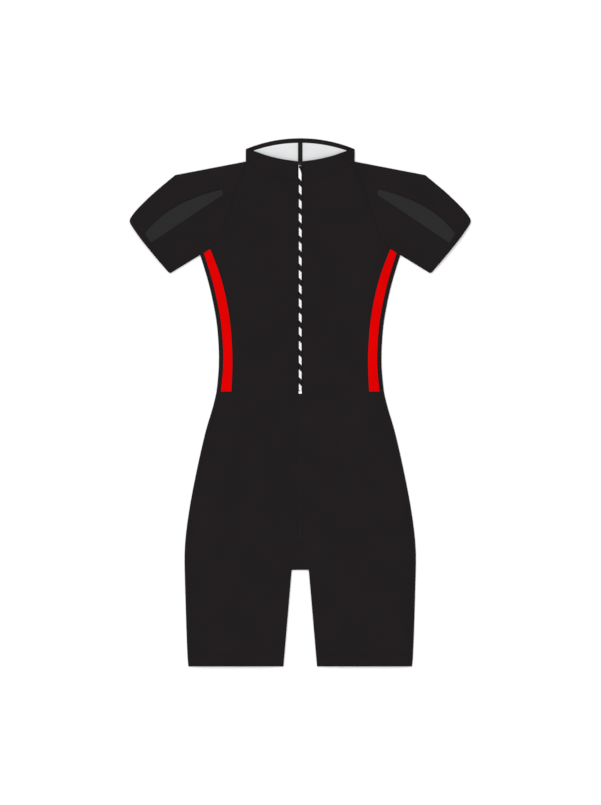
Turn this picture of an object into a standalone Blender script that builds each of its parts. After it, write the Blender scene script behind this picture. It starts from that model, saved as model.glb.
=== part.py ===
"""A short unitard with raglan sleeves, a stand collar and a centre-front zip, laid flat on its back.

Blender works in metres; every size below is in millimetres and MM turns it into metres.
The garment lies on the plane Z = 0. X runs to the wearer's left, Y from the hems to the collar.
Heights are measured up the garment from the hems, so that Y = height - LENGTH / 2.
"""
import math
from collections import namedtuple

import bmesh
import bpy
from mathutils import Vector

MM = 0.001

# The cloth
CLOTH = 1.2               # thickness of a panel
TRIM = 1.0                # thickness of the lining, facing and tapes
SEAM_GAP = 0.3            # between neighbours that are sewn to each other or lie on each other
FOLD_DEPTH = 1.0          # how far the side fold's round reaches in from the silhouette
AIR_AT_EDGE = 0.3         # between the upper and the lower layer, at a closed edge
AIR_INSIDE = 3.0          # the same, away from the edges
AIR_REACH = 45.0          # how far in from an edge the upper layer levels out
SHARPEST = 0.3            # least share used where a corner's two directions almost cancel
CORNER_STEPS = 6          # flat sides of a rounded corner

# The body
LENGTH = 976.8            # hem to the top of the back collar
CROTCH_HEIGHT = 178.5
CROTCH_HALF = 15.8        # half of the flat crotch edge
HEM_GAP_HALF = 31.1       # half of the gap between the legs at the hems
ARMPIT_CENTRE = 778.9     # height of the armpit row at the centre line
FRONT_NECK = 899.1        # height of the neckline at the centre front
BACK_NECK = 928.7         # height of the neckline at the centre back
FRONT_NECK_BOW = 2.2      # powers of the necklines' curves
BACK_NECK_BOW = 2.0

Section = namedtuple("Section", "height half_width")
BODY_SIDES = (
    Section(0, 206.8),
    Section(12, 208.2),
    Section(60, 210.2),
    Section(130, 212.3),
    Section(208, 214.2),
    Section(234, 212.7),
    Section(270, 208.5),
    Section(344, 195.3),
    Section(418, 179.0),
    Section(446, 172.1),
    Section(474, 162.5),
    Section(511, 154.4),
    Section(566, 149.8),
    Section(622, 152.5),
    Section(677, 161.5),
    Section(714, 170.4),
    Section(761, 185.2),
)

# The side seam lies on the front, the red stripe inside it
SIDE_SEAM_INSET = 8.1
STRIPE_END = 508.5
Stripe = namedtuple("Stripe", "height width")
STRIPE = (
    Stripe(508, 19.3),
    Stripe(525, 18.0),
    Stripe(550, 17.0),
    Stripe(600, 16.4),
    Stripe(659, 17.1),
    Stripe(690, 17.5),
    Stripe(750, 16.7),
)

# The raglan seam, from the armpit to the neck corner
Place = namedtuple("Place", "x height")
ARMPIT = Place(185.2, 761.1)
SEAM_TOP = Place(178.3, 764.4)
STRIPE_TOP = Place(166.7, 772.0)
NECK_CORNER = Place(100.7, 933.7)
RAGLAN = (
    STRIPE_TOP,
    Place(155.4, 782.6),
    Place(144.3, 802.9),
    Place(129.5, 843.6),
    Place(114.7, 889.9),
    NECK_CORNER,
)
RAGLAN_STEPS = 9

# The sleeve
SHOULDER = Place(231.1, 908.7)
CUFF_TOP = Place(317.6, 823.8)
CUFF_BOTTOM = Place(241.4, 726.3)
CUFF_TOP_ROUND = 7.0      # how far from the corner its rounding starts
CUFF_BOTTOM_ROUND = 3.5
OVERARM = (SHOULDER, Place(265.1, 880.6), Place(289.0, 858.4), Place(309.8, 836.6), CUFF_TOP)
CUFF = (CUFF_BOTTOM, Place(259.7, 747.4), Place(287.3, 780.7), Place(304.0, 802.9), CUFF_TOP)
SLEEVE_ROWS = 11
SHOULDER_ROW = 5

# The crescent in the sleeve: its straight lower edge and its curved upper edge
CRESCENT_LOWER = (Place(142.5, 871.9), Place(158.0, 862.1), Place(275.5, 783.4))
CRESCENT_UPPER = (
    Place(144.5, 881.4),
    Place(161.7, 877.8),
    Place(207.8, 861.4),
    Place(237.5, 845.3),
    Place(263.4, 826.3),
    Place(281.8, 807.2),
    Place(287.0, 800.0),
)
CRESCENT_FIRST = 7        # the raglan station that its lower edge runs from
CRESCENT_LAST = 9         # the raglan station that its upper edge runs from
CUFF_AT_LOWER = 0.575     # where the two edges' lines meet the cuff, as a share of its length
CUFF_AT_UPPER = 0.725

# The collar
COLLAR_CORNER = 957.0     # height of the collar's top edge at its side folds
COLLAR_BACK_BOW = 2.05    # power of the curve of the back's top edge
COLLAR_CORNER_DROP = 1.2  # how far the top edge dips round its side folds
COLLAR_CORNER_ROUND = 6   # power that keeps the dip near the fold
COLLAR_ROWS = 4
COLLAR_AIR_EDGE = 2.2     # air inside the collar's top edge, at its side folds
COLLAR_AIR_INSIDE = 4.6   # the same, at the centre front
COLLAR_RISE = 0.6         # share of the collar's height over which its air opens
COLLAR_CROWDING = 1.4     # how strongly its columns crowd towards the side folds
TopEdge = namedtuple("TopEdge", "x height")
COLLAR_FRONT_TOP = (
    TopEdge(0, 933.5),
    TopEdge(18.5, 935.6),
    TopEdge(41.0, 939.4),
    TopEdge(68.1, 946.8),
    TopEdge(86.0, 953.6),
    TopEdge(100.7, COLLAR_CORNER),
)
LINING_HALF = 86.0
LINING_BORDER = 8.5       # the facing's width, above the lining
TAPE_WIDTH = 8.3
TAPE_FOOT = 930.0         # height at which the centre-back tape ends, behind the front collar

# The zip
ZIP_END = 504.3
SLOT_HALF = 3.3           # half of the slot between the two fronts
CHAIN_HALF = 3.0
CHAIN_THICKNESS = 1.8
CHAIN_PROUD = 0.6         # how far the chain stands above the cloth
ZIP_TAPE_HALF = 14.0
ZIP_TAPE_FOOT = 494.0
BOTTOM_STOP = 4.6
TOP_STOP_WIDTH = 2.3
SLIDER_FOOT = 923.2
SLIDER_LENGTH = 8.5
SLIDER_CORE_HALF = 2.9
SLIDER_WIDTH = 8.4
SLIDER_PLATE = 1.1
SLIDER_EDGE = 0.4         # rounding of the plate's edges
CORE_SHORTER = 0.6        # how much shorter than the plate the core is
BRIDGE_LENGTH = 6.6
BRIDGE_HEIGHT = 2.6
BRIDGE_WIDTH = 1.0
BRIDGE_WALL = 1.0
BRIDGE_CORNER = 0.8       # cut off the bridge's outer corners
WINDOW_CORNER = 0.3       # and off its window's
BAR_RADIUS = 0.5
LOOP_LEFT = -2.9          # outer sides of the pull's loop, wider on the side that the tab hangs from
LOOP_RIGHT = 1.3
LOOP_ARM = 0.45
LOOP_LENGTH = 4.8
TAB_THICKNESS = 1.0
JOIN_STEP = 0.01          # keeps the faces of joined solids out of one plane
TAB_FOOT = 897.5          # height at which the pull tab ends

# The pull tab's outline, from the bar it turns on: its right side and its foot are cut at a slant
Corner = namedtuple("Corner", "across along")
TAB = (
    Corner(-2.95, 4.2),
    Corner(-2.95, 22.4),
    Corner(2.15, 28.4),
    Corner(2.15, 15.9),
    Corner(0.85, 10.3),
    Corner(-1.2, 5.3),
    Corner(1.26, 4.85),
    Corner(1.26, 4.2),
)


def smooth(table, at):
    """Read a table of rows on a curve that passes through each row and never overshoots."""
    if at <= table[0][0]:
        return table[0][1]
    if at >= table[-1][0]:
        return table[-1][1]
    spans = [after[0] - before[0] for before, after in zip(table, table[1:])]
    slopes = [(after[1] - before[1]) / span for before, after, span in zip(table, table[1:], spans)]
    tangents = [slopes[0]]
    for before, after in zip(slopes, slopes[1:]):
        tangents.append(2 * before * after / (before + after) if before * after > 0 else 0.0)
    tangents.append(slopes[-1])
    index = max(i for i, row in enumerate(table[:-1]) if row[0] <= at)
    span = spans[index]
    t = (at - table[index][0]) / span
    start = (2 * t ** 3 - 3 * t ** 2 + 1) * table[index][1] + (t ** 3 - 2 * t ** 2 + t) * span * tangents[index]
    end = (3 * t ** 2 - 2 * t ** 3) * table[index + 1][1] + (t ** 3 - t ** 2) * span * tangents[index + 1]
    return start + end


def curve(places, steps=12):
    """A smooth curve through a few places, as close points."""
    corners = [Vector(place) for place in places]
    corners = [2 * corners[0] - corners[1]] + corners + [2 * corners[-1] - corners[-2]]
    points = []
    for a, b, c, d in zip(corners, corners[1:], corners[2:], corners[3:]):
        for step in range(steps):
            t = step / steps
            bend = (2 * a - 5 * b + 4 * c - d) * t ** 2 + (3 * b - a - 3 * c + d) * t ** 3
            points.append(0.5 * (2 * b + (c - a) * t + bend))
    points.append(corners[-2])
    return points


def place_at(points, share):
    """The place at a share of a line's length."""
    lengths = [(after - before).length for before, after in zip(points, points[1:])]
    left = share * sum(lengths)
    for before, after, length in zip(points, points[1:], lengths):
        if left <= length:
            return before.lerp(after, left / length)
        left -= length
    return points[-1]


def evenly(places, count, start=0.0, end=1.0):
    """count + 1 places, evenly spaced along the curve through some places."""
    points = curve(places) if len(places) > 2 else [Vector(place) for place in places]
    return [place_at(points, start + (end - start) * step / count) for step in range(count + 1)]


def patch(bottom, top, left, right):
    """The rows of a patch that fills four edges, each given as a list of places."""
    rows = []
    for row, (west, east) in enumerate(zip(left, right)):
        up = row / (len(left) - 1)
        line = []
        for column, (south, north) in enumerate(zip(bottom, top)):
            over = column / (len(bottom) - 1)
            ruled = south.lerp(north, up) + west.lerp(east, over)
            corners = bottom[0].lerp(bottom[-1], over).lerp(top[0].lerp(top[-1], over), up)
            line.append(ruled - corners)
        rows.append(line)
    return rows


def half_width(height):
    return smooth(BODY_SIDES, height)


def side_seam(height):
    return half_width(height) - SIDE_SEAM_INSET


def stripe_inner(height):
    return side_seam(height) - smooth(STRIPE, height)


def crotch_line(height):
    share = min(height / CROTCH_HEIGHT, 1.0)
    return HEM_GAP_HALF + (CROTCH_HALF - HEM_GAP_HALF) * share


def front_neckline(x):
    return FRONT_NECK + (NECK_CORNER.height - FRONT_NECK) * (abs(x) / NECK_CORNER.x) ** FRONT_NECK_BOW


def back_neckline(x):
    return BACK_NECK + (NECK_CORNER.height - BACK_NECK) * (abs(x) / NECK_CORNER.x) ** BACK_NECK_BOW


def collar_front_top(x):
    return smooth(COLLAR_FRONT_TOP, abs(x))


def collar_back_top(x):
    return LENGTH - (LENGTH - COLLAR_CORNER) * (abs(x) / NECK_CORNER.x) ** COLLAR_BACK_BOW


RAGLAN_STATIONS = [Vector(ARMPIT), Vector(SEAM_TOP)] + evenly(RAGLAN, RAGLAN_STEPS)


def closed_edges():
    """The edges at which the two layers meet: side fold, leg, crotch, underarm and overarm."""
    side = [Vector((half_width(height), height)) for height in range(0, 761, 20)] + [Vector(ARMPIT)]
    leg = [Vector((HEM_GAP_HALF, 0)), Vector((CROTCH_HALF, CROTCH_HEIGHT)), Vector((0, CROTCH_HEIGHT))]
    underarm = [Vector(ARMPIT), Vector(CUFF_BOTTOM)]
    overarm = [Vector(NECK_CORNER)] + evenly(OVERARM, 6)
    return [side, leg, underarm, overarm]


CLOSED_EDGES = closed_edges()


def edge_distance(x, height):
    """How far a place lies from the nearest closed edge."""
    place = Vector((abs(x), height))
    nearest = AIR_REACH
    for line in CLOSED_EDGES:
        for before, after in zip(line, line[1:]):
            along = after - before
            share = min(max((place - before).dot(along) / along.length_squared, 0.0), 1.0)
            nearest = min(nearest, (before + along * share - place).length)
    return nearest


def rounded(distance):
    """From 0 at an edge to 1 at AIR_REACH, levelling out."""
    return 1.0 - (1.0 - min(distance / AIR_REACH, 1.0)) ** 2


def eased(share):
    share = min(max(share, 0.0), 1.0)
    return share * share * (3.0 - 2.0 * share)


LOWER_LEVEL = CLOTH / 2
UPPER_LEVEL = CLOTH * 1.5
NECK_LIFT = 0.6           # the front rises a little towards the neckline, to meet the collar
NECK_LIFT_FROM = 840.0


def body_level(x, height):
    """Height above the ground of the middle of the upper layer, below the neckline."""
    lift = NECK_LIFT * eased((height - NECK_LIFT_FROM) / (FRONT_NECK - NECK_LIFT_FROM))
    air = AIR_AT_EDGE + (AIR_INSIDE + lift - AIR_AT_EDGE) * rounded(edge_distance(x, height))
    return UPPER_LEVEL + air


def collar_level(x, share):
    """The same in the collar, at a share of its height."""
    foot = body_level(x, front_neckline(x))
    reach = rounded(NECK_CORNER.x - abs(x))
    top = UPPER_LEVEL + COLLAR_AIR_EDGE + (COLLAR_AIR_INSIDE - COLLAR_AIR_EDGE) * reach
    return foot + (top - foot) * eased(share / COLLAR_RISE)


def upper_level(x, height):
    foot = front_neckline(x)
    if height <= foot:
        return body_level(x, height)
    return collar_level(x, (height - foot) / (collar_front_top(x) - foot))


def upper(place, side):
    return Vector((side * place.x, place.y - LENGTH / 2, upper_level(place.x, place.y)))


def lower(place, side):
    return Vector((side * place.x, place.y - LENGTH / 2, LOWER_LEVEL))


def new_material(name, colour, roughness, metallic=0.0):
    material = bpy.data.materials.new(name)
    material.use_nodes = True
    shader = material.node_tree.nodes["Principled BSDF"]
    shader.inputs["Base Color"].default_value = (*colour, 1.0)
    shader.inputs["Roughness"].default_value = roughness
    shader.inputs["Metallic"].default_value = metallic
    return material


def draw_in(sheet, amount):
    """Move a sheet's outline inwards, so that a seam keeps its gap."""
    inwards = {}
    for edge in sheet.edges:
        if edge.is_boundary:
            face = edge.link_faces[0]
            start, end = edge.verts
            inward = face.normal.cross(end.co - start.co).normalized()
            if inward.dot(face.calc_center_median() - start.co) < 0:
                inward.negate()
            inwards.setdefault(start, []).append(inward)
            inwards.setdefault(end, []).append(inward)
    for vertex, directions in inwards.items():
        middle = sum(directions, Vector()).normalized()
        vertex.co += middle * amount / max(middle.dot(directions[0]), SHARPEST)


def add_object(name, mesh, material):
    mesh.materials.append(material)
    piece = bpy.data.objects.new(name, mesh)
    garment.objects.link(piece)
    return piece


def sheet_piece(name, points, keep, material, thickness=CLOTH, round_at=()):
    """One cut piece: a grid moved onto its points, trimmed to its cells and given its thickness.

    round_at names corners to round: their row, column and how far from the corner the rounding starts.
    """
    across = len(points[0]) - 1
    sheet = bmesh.new()
    bmesh.ops.create_grid(sheet, x_segments=across, y_segments=len(points) - 1, size=1.0)
    sheet.verts.ensure_lookup_table()
    for row, line in enumerate(points):
        for column, place in enumerate(line):
            sheet.verts[row * (across + 1) + column].co = place * MM
    corners = [(sheet.verts[row * (across + 1) + column], reach) for row, column, reach in round_at]
    spare = [face for face in sheet.faces if not keep(*divmod(face.index, across))]
    bmesh.ops.delete(sheet, geom=spare, context="FACES")
    for corner, reach in corners:
        bmesh.ops.bevel(sheet, geom=[corner], offset=reach * MM, segments=CORNER_STEPS,
                        profile=0.5, affect="VERTICES")
    sheet.normal_update()
    draw_in(sheet, SEAM_GAP / 2 * MM)
    mesh = bpy.data.meshes.new(name)
    sheet.to_mesh(mesh)
    sheet.free()
    mesh.shade_smooth()
    piece = add_object(name, mesh, material)
    wall = piece.modifiers.new("Wall", "SOLIDIFY")
    wall.thickness = thickness * MM
    wall.offset = 0.0
    wall.use_even_offset = True
    return piece


def every_cell(row, column):
    return True


# Rows of the body, from the hems up
ROW_HEIGHTS = (
    0, 12, 50, 92, 135, CROTCH_HEIGHT, 210, 245, 290, 335, 380, 418, 446, 474,
    ZIP_END, STRIPE_END, 536, 566, 600, 635, 670, 705, 736,
)
CROTCH_ROW = ROW_HEIGHTS.index(CROTCH_HEIGHT)
ZIP_END_ROW = ROW_HEIGHTS.index(ZIP_END)
STRIPE_END_ROW = ROW_HEIGHTS.index(STRIPE_END)
ARMPIT_ROW = len(ROW_HEIGHTS)

# Columns of the body, from the centre line out
ZIP_COLUMN = 1
CROTCH_COLUMN = 2
STRIPE_COLUMN = 8
SEAM_COLUMN = 10
FOLD_STEPS = 6


def column_line(row):
    """The places of one row, from the centre line to the side seam."""
    height = ROW_HEIGHTS[row] if row < ARMPIT_ROW else ARMPIT.height
    inner = crotch_line(height)
    outer = STRIPE_TOP.x if row == ARMPIT_ROW else stripe_inner(height)
    seam = SEAM_TOP.x if row == ARMPIT_ROW else side_seam(height)
    spread = STRIPE_COLUMN - CROTCH_COLUMN
    line = [0.0, SLOT_HALF]
    line += [inner + (outer - inner) * step / spread for step in range(spread + 1)]
    line += [(outer + seam) / 2, seam]
    return line


def row_height(row, x):
    """The height of a row at x: level, but for the armpit row, which falls towards the armpit."""
    if row < ARMPIT_ROW:
        return ROW_HEIGHTS[row]
    stations = ((0.0, ARMPIT_CENTRE), STRIPE_TOP, SEAM_TOP, ARMPIT)
    for before, after in zip(stations, stations[1:]):
        if x <= after[0] + 1e-6:
            break
    share = (x - before[0]) / (after[0] - before[0])
    return before[1] + (after[1] - before[1]) * share


def body_places():
    """The places of both body layers up to the armpit row."""
    rows = []
    for row in range(ARMPIT_ROW + 1):
        rows.append([Vector((x, row_height(row, x))) for x in column_line(row)])
    return rows


def chest_places(neckline):
    """The places between the armpit row and a neckline, from the centre line to the raglan seam."""
    bottom = body_places()[ARMPIT_ROW][:STRIPE_COLUMN + 1]
    top = []
    for place in bottom:
        x = place.x * NECK_CORNER.x / STRIPE_TOP.x if place.x > SLOT_HALF else place.x
        top.append(Vector((x, neckline(x))))
    right = evenly(RAGLAN, RAGLAN_STEPS)
    rows = []
    for row in range(1, RAGLAN_STEPS + 1):
        up = row / RAGLAN_STEPS
        bow = right[row] - right[0].lerp(right[-1], up)
        line = []
        for south, north in zip(bottom, top):
            over = max((south.x - SLOT_HALF) / (STRIPE_TOP.x - SLOT_HALF), 0.0)
            line.append(south.lerp(north, up) + bow * over)
        rows.append(line)
    return rows


def make_front(side, word):
    spare = SEAM_COLUMN - STRIPE_COLUMN
    chest = [line + [line[-1]] * spare for line in chest_places(front_neckline)]
    points = [[upper(place, side) for place in line] for line in body_places() + chest]

    def in_front(row, column):
        if row < CROTCH_ROW and column < CROTCH_COLUMN:
            return False
        if row >= ZIP_END_ROW and column < ZIP_COLUMN:
            return False
        return row < STRIPE_END_ROW or column < STRIPE_COLUMN

    def in_stripe(row, column):
        return STRIPE_END_ROW <= row < ARMPIT_ROW and column >= STRIPE_COLUMN

    sheet_piece("front_" + word, points, in_front, black_knit)
    sheet_piece("side_stripe_" + word, points, in_stripe, red_knit)


def side_fold(row):
    """The points of one row round the side fold, from the lower layer to the side seam on top."""
    seam = column_line(row)[SEAM_COLUMN]
    edge = ARMPIT.x if row == ARMPIT_ROW else half_width(ROW_HEIGHTS[row])
    start = edge - CLOTH / 2 - FOLD_DEPTH
    top = upper_level(start, row_height(row, start))
    rise = (top - LOWER_LEVEL) / 2
    points = []
    for step in range(FOLD_STEPS + 1):
        turn = math.pi * (step / FOLD_STEPS - 0.5)
        x = start + FOLD_DEPTH * math.cos(turn)
        points.append(Vector((x, row_height(row, x) - LENGTH / 2, LOWER_LEVEL + rise * (1 + math.sin(turn)))))
    middle = Vector(((start + seam) / 2, row_height(row, (start + seam) / 2)))
    points += [upper(middle, 1), upper(Vector((seam, row_height(row, seam))), 1)]
    return points


def make_back(side, word):
    points = []
    for row, line in enumerate(body_places()):
        flat = [lower(place, 1) for column, place in enumerate(line) if column != ZIP_COLUMN]
        points.append(flat + side_fold(row))
    around = len(points[0])
    for line in chest_places(back_neckline):
        flat = [lower(place, 1) for column, place in enumerate(line) if column != ZIP_COLUMN]
        points.append(flat + [flat[-1]] * (around - len(flat)))
    points = [[Vector((side * place.x, place.y, place.z)) for place in line] for line in points]

    def in_back(row, column):
        if row < CROTCH_ROW and column < CROTCH_COLUMN - 1:
            return False
        return row < ARMPIT_ROW or column < STRIPE_COLUMN - 1

    sheet_piece("back_" + word, points, in_back, black_knit)


def sleeve_places():
    """Rows from the raglan seam to the cuff, columns from the underarm to the overarm."""
    raglan = RAGLAN_STATIONS
    first, last = CRESCENT_FIRST, CRESCENT_LAST
    cuff = evenly(CUFF, first, 0.0, CUFF_AT_LOWER)
    cuff += evenly(CUFF, last - first, CUFF_AT_LOWER, CUFF_AT_UPPER)[1:]
    cuff += evenly(CUFF, len(raglan) - 1 - last, CUFF_AT_UPPER, 1.0)[1:]
    underarm = evenly((ARMPIT, CUFF_BOTTOM), SLEEVE_ROWS)
    overarm = evenly((NECK_CORNER, SHOULDER), SHOULDER_ROW)
    overarm += evenly(OVERARM, SLEEVE_ROWS - SHOULDER_ROW)[1:]
    lower_edge = [raglan[first]] + evenly(CRESCENT_LOWER, SLEEVE_ROWS - 2) + [cuff[first]]
    upper_edge = [raglan[last]] + evenly(CRESCENT_UPPER, SLEEVE_ROWS - 2) + [cuff[last]]
    under = patch(raglan[:first + 1], cuff[:first + 1], underarm, lower_edge)
    crescent = patch(raglan[first:last + 1], cuff[first:last + 1], lower_edge, upper_edge)
    over = patch(raglan[last:], cuff[last:], upper_edge, overarm)
    return [a + b[1:] + c[1:] for a, b, c in zip(under, crescent, over)]


def make_sleeve(side, word):
    places = sleeve_places()

    def in_crescent(row, column):
        return 1 <= row < SLEEVE_ROWS - 1 and CRESCENT_FIRST <= column < CRESCENT_LAST

    def in_sleeve(row, column):
        return not in_crescent(row, column)

    front = [[upper(place, side) for place in line] for line in places]
    back = [[lower(place, side) for place in line] for line in places]
    last = len(places[0]) - 1
    cuff_corners = ((SLEEVE_ROWS, 0, CUFF_BOTTOM_ROUND), (SLEEVE_ROWS, last, CUFF_TOP_ROUND))
    sheet_piece("sleeve_front_" + word, front, in_sleeve, black_knit, round_at=cuff_corners)
    sheet_piece("sleeve_insert_" + word, front, in_crescent, grey_knit)
    sheet_piece("sleeve_back_" + word, back, every_cell, black_knit, round_at=cuff_corners)


COLLAR_COLUMNS = 7


def collar_row(share):
    """One row of the collar, from the zip round the side fold to the centre back."""
    rise = (collar_level(NECK_CORNER.x - CLOTH / 2 - FOLD_DEPTH, share) - LOWER_LEVEL) / 2
    depth = max(FOLD_DEPTH, rise)
    start = NECK_CORNER.x - CLOTH / 2 - depth
    points = []
    for step in range(COLLAR_COLUMNS):
        x = SLOT_HALF + (start - SLOT_HALF) * eased_out(step / COLLAR_COLUMNS)
        foot = front_neckline(x)
        height = foot + (collar_front_top(x) - foot) * share
        points.append(Vector((x, height - LENGTH / 2, collar_level(x, share))))
    for step in range(FOLD_STEPS + 1):
        turn = math.pi * (0.5 - step / FOLD_STEPS)
        x = start + depth * math.cos(turn)
        level = LOWER_LEVEL + rise * (1 + math.sin(turn))
        top = collar_front_top(x) if turn > 0 else collar_back_top(x)
        top -= COLLAR_CORNER_DROP * math.cos(turn) ** COLLAR_CORNER_ROUND
        height = NECK_CORNER.height + (top - NECK_CORNER.height) * share
        points.append(Vector((x, height - LENGTH / 2, level)))
    for step in range(1, COLLAR_COLUMNS + 1):
        x = start * (1 - (step / COLLAR_COLUMNS) ** COLLAR_CROWDING)
        foot = back_neckline(x)
        height = foot + (collar_back_top(x) - foot) * share
        points.append(Vector((x, height - LENGTH / 2, LOWER_LEVEL)))
    return points


def eased_out(share):
    """Spaces the collar's front columns closer together near the side fold."""
    return 1.0 - (1.0 - share) ** COLLAR_CROWDING


def make_collar(side, word):
    rows = [collar_row(row / COLLAR_ROWS) for row in range(COLLAR_ROWS + 1)]
    points = [[Vector((side * place.x, place.y, place.z)) for place in line] for line in rows]
    sheet_piece("collar_" + word, points, every_cell, black_knit)


LINING_LEVEL = CLOTH + SEAM_GAP + TRIM / 2
LINING_STEPS = 16


def make_collar_inside():
    """The lining, the facing above it and the tape over the centre-back seam."""
    spread = [LINING_HALF * (2 * step / LINING_STEPS - 1) for step in range(LINING_STEPS + 1)]

    def strip(foot, head, level, places, rows):
        lines = []
        for row in range(rows + 1):
            line = []
            for x in places:
                height = foot(x) + (head(x) - foot(x)) * row / rows
                line.append(Vector((x, height - LENGTH / 2, level)))
            lines.append(line)
        return lines

    def lining_top(x):
        return collar_back_top(x) - LINING_BORDER

    lining = strip(back_neckline, lining_top, LINING_LEVEL, spread, 3)
    sheet_piece("collar_lining", lining, every_cell, lining_knit, TRIM)
    facing = strip(lining_top, collar_back_top, LINING_LEVEL, spread, 1)
    sheet_piece("neck_facing", facing, every_cell, black_knit, TRIM)
    level = LINING_LEVEL + TRIM + SEAM_GAP
    middle = [TAPE_WIDTH * (step / 2 - 0.5) for step in range(3)]
    tape = strip(lambda x: TAPE_FOOT, lining_top, level, middle, 3)
    sheet_piece("centre_back_tape", tape, every_cell, black_tape, TRIM)


ZIP_STEPS = 24


def zip_strip(across, foot, head, drop):
    """Rows of a strip that follows the fronts' surface, a little above or below it."""
    heights = [foot + (head - foot) * step / ZIP_STEPS for step in range(ZIP_STEPS + 1)]
    return [[Vector((x, h - LENGTH / 2, upper_level(0, h) + drop)) for x in across] for h in heights]


ZIP_HEAD = COLLAR_FRONT_TOP[0].height
TAPE_DROP = -(CLOTH / 2 + SEAM_GAP + TRIM / 2)
CHAIN_TOP = CLOTH / 2 + CHAIN_PROUD
CHAIN_DROP = CHAIN_TOP - CHAIN_THICKNESS / 2


def make_zip_tape(side, word):
    across = [side * x for x in (0.0, SLOT_HALF, (SLOT_HALF + ZIP_TAPE_HALF) / 2, ZIP_TAPE_HALF)]
    points = zip_strip(across, ZIP_TAPE_FOOT, ZIP_HEAD, TAPE_DROP)
    sheet_piece("zip_tape_" + word, points, every_cell, black_tape, TRIM)


def make_zip_chain():
    foot = ZIP_END + BOTTOM_STOP
    points = zip_strip((-CHAIN_HALF, 0.0, CHAIN_HALF), foot, SLIDER_FOOT, CHAIN_DROP)
    sheet_piece("zip_chain", points, every_cell, zip_plastic, CHAIN_THICKNESS)


def stop(name, x, width, foot, head, material):
    points = [
        [Vector((x + width * (end - 0.5), h - LENGTH / 2, upper_level(0, h) + CHAIN_DROP)) for end in (0, 1)]
        for h in (foot, head)
    ]
    sheet_piece(name, points, every_cell, material, CHAIN_THICKNESS)


def block(name, size, centre):
    """A box as its own object, size and centre in millimetres."""
    bpy.ops.mesh.primitive_cube_add(size=1.0, location=Vector(centre) * MM)
    box = bpy.context.object
    box.name = name
    for vertex in box.data.vertices:
        vertex.co = Vector([part * whole * MM for part, whole in zip(vertex.co, size)])
    return box


def flat_solid(name, corners, thickness, standing_at=None):
    """A flat outline given a thickness: lying, X and Y, or standing in the Y-Z plane at a place."""
    outline = bpy.data.curves.new(name, "CURVE")
    outline.dimensions = "2D"
    outline.fill_mode = "BOTH"
    outline.extrude = thickness / 2 * MM
    line = outline.splines.new("POLY")
    line.points.add(len(corners) - 1)
    for point, (across, along) in zip(line.points, corners):
        point.co = (across * MM, along * MM, 0, 1)
    line.use_cyclic_u = True
    holder = bpy.data.objects.new(name + "_outline", outline)
    garment.objects.link(holder)
    bpy.context.view_layer.update()
    mesh = bpy.data.meshes.new_from_object(holder.evaluated_get(bpy.context.evaluated_depsgraph_get()))
    bpy.data.objects.remove(holder)
    solid = bmesh.new()
    solid.from_mesh(mesh)
    bmesh.ops.remove_doubles(solid, verts=solid.verts, dist=0.00001)
    if standing_at:
        for vertex in solid.verts:
            along, up, across = vertex.co
            vertex.co = Vector((across, along, up)) + Vector(standing_at) * MM
    bmesh.ops.recalc_face_normals(solid, faces=solid.faces)
    solid.to_mesh(mesh)
    solid.free()
    piece = bpy.data.objects.new(name, mesh)
    garment.objects.link(piece)
    return piece


def arch_corners(half_length, height, corner):
    """The side view of an arch with cut corners, its foot at 0."""
    return (
        (-half_length, 0), (-half_length, height - corner), (corner - half_length, height),
        (half_length - corner, height), (half_length, height - corner), (half_length, 0),
    )


def join_solids(whole, others, operation="UNION"):
    """Join or cut closed solids into one, leaving the first one only."""
    for other in others:
        cut = whole.modifiers.new("Join", "BOOLEAN")
        cut.operation = operation
        cut.object = other
        bpy.context.view_layer.update()
        result = bpy.data.meshes.new_from_object(whole.evaluated_get(bpy.context.evaluated_depsgraph_get()))
        whole.modifiers.clear()
        whole.data = result
        bpy.data.objects.remove(other)


SLIDER_MIDDLE = SLIDER_FOOT + SLIDER_LENGTH / 2 - LENGTH / 2
CLOTH_LEVEL = upper_level(0, ZIP_HEAD)
PLATE_FOOT = CLOTH_LEVEL + CHAIN_TOP + SEAM_GAP
PLATE_TOP = PLATE_FOOT + SLIDER_PLATE
BAR_Y = SLIDER_MIDDLE - BRIDGE_LENGTH / 2 + BRIDGE_WALL + SEAM_GAP + BAR_RADIUS
BAR_LEVEL = PLATE_TOP + SEAM_GAP + BAR_RADIUS


def make_slider():
    """A core in the slot, a plate over the cloth and a bridge that holds the pull."""
    core_foot = CLOTH_LEVEL + CHAIN_TOP - CHAIN_THICKNESS
    sunk = SLIDER_PLATE / 2
    core_height = PLATE_TOP - sunk - core_foot
    plate = block("zip_slider", (SLIDER_WIDTH, SLIDER_LENGTH, SLIDER_PLATE),
                  (0, SLIDER_MIDDLE, PLATE_FOOT + sunk))
    soften = plate.modifiers.new("Edges", "BEVEL")
    soften.width = SLIDER_EDGE * MM
    soften.segments = 2
    core = block("core", (2 * SLIDER_CORE_HALF, SLIDER_LENGTH - CORE_SHORTER, core_height),
                 (0, SLIDER_MIDDLE, core_foot + core_height / 2))
    arch = flat_solid("arch", arch_corners(BRIDGE_LENGTH / 2, BRIDGE_HEIGHT + sunk, BRIDGE_CORNER),
                      BRIDGE_WIDTH, (0, SLIDER_MIDDLE, PLATE_TOP - sunk))
    inside = arch_corners(BRIDGE_LENGTH / 2 - BRIDGE_WALL, BRIDGE_HEIGHT - BRIDGE_WALL, WINDOW_CORNER)
    window = flat_solid("window", inside, 2 * BRIDGE_WIDTH, (0, SLIDER_MIDDLE, PLATE_TOP))
    join_solids(arch, [window], "DIFFERENCE")
    join_solids(plate, [core, arch])
    finish_hard_piece(plate, black_metal)


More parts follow.
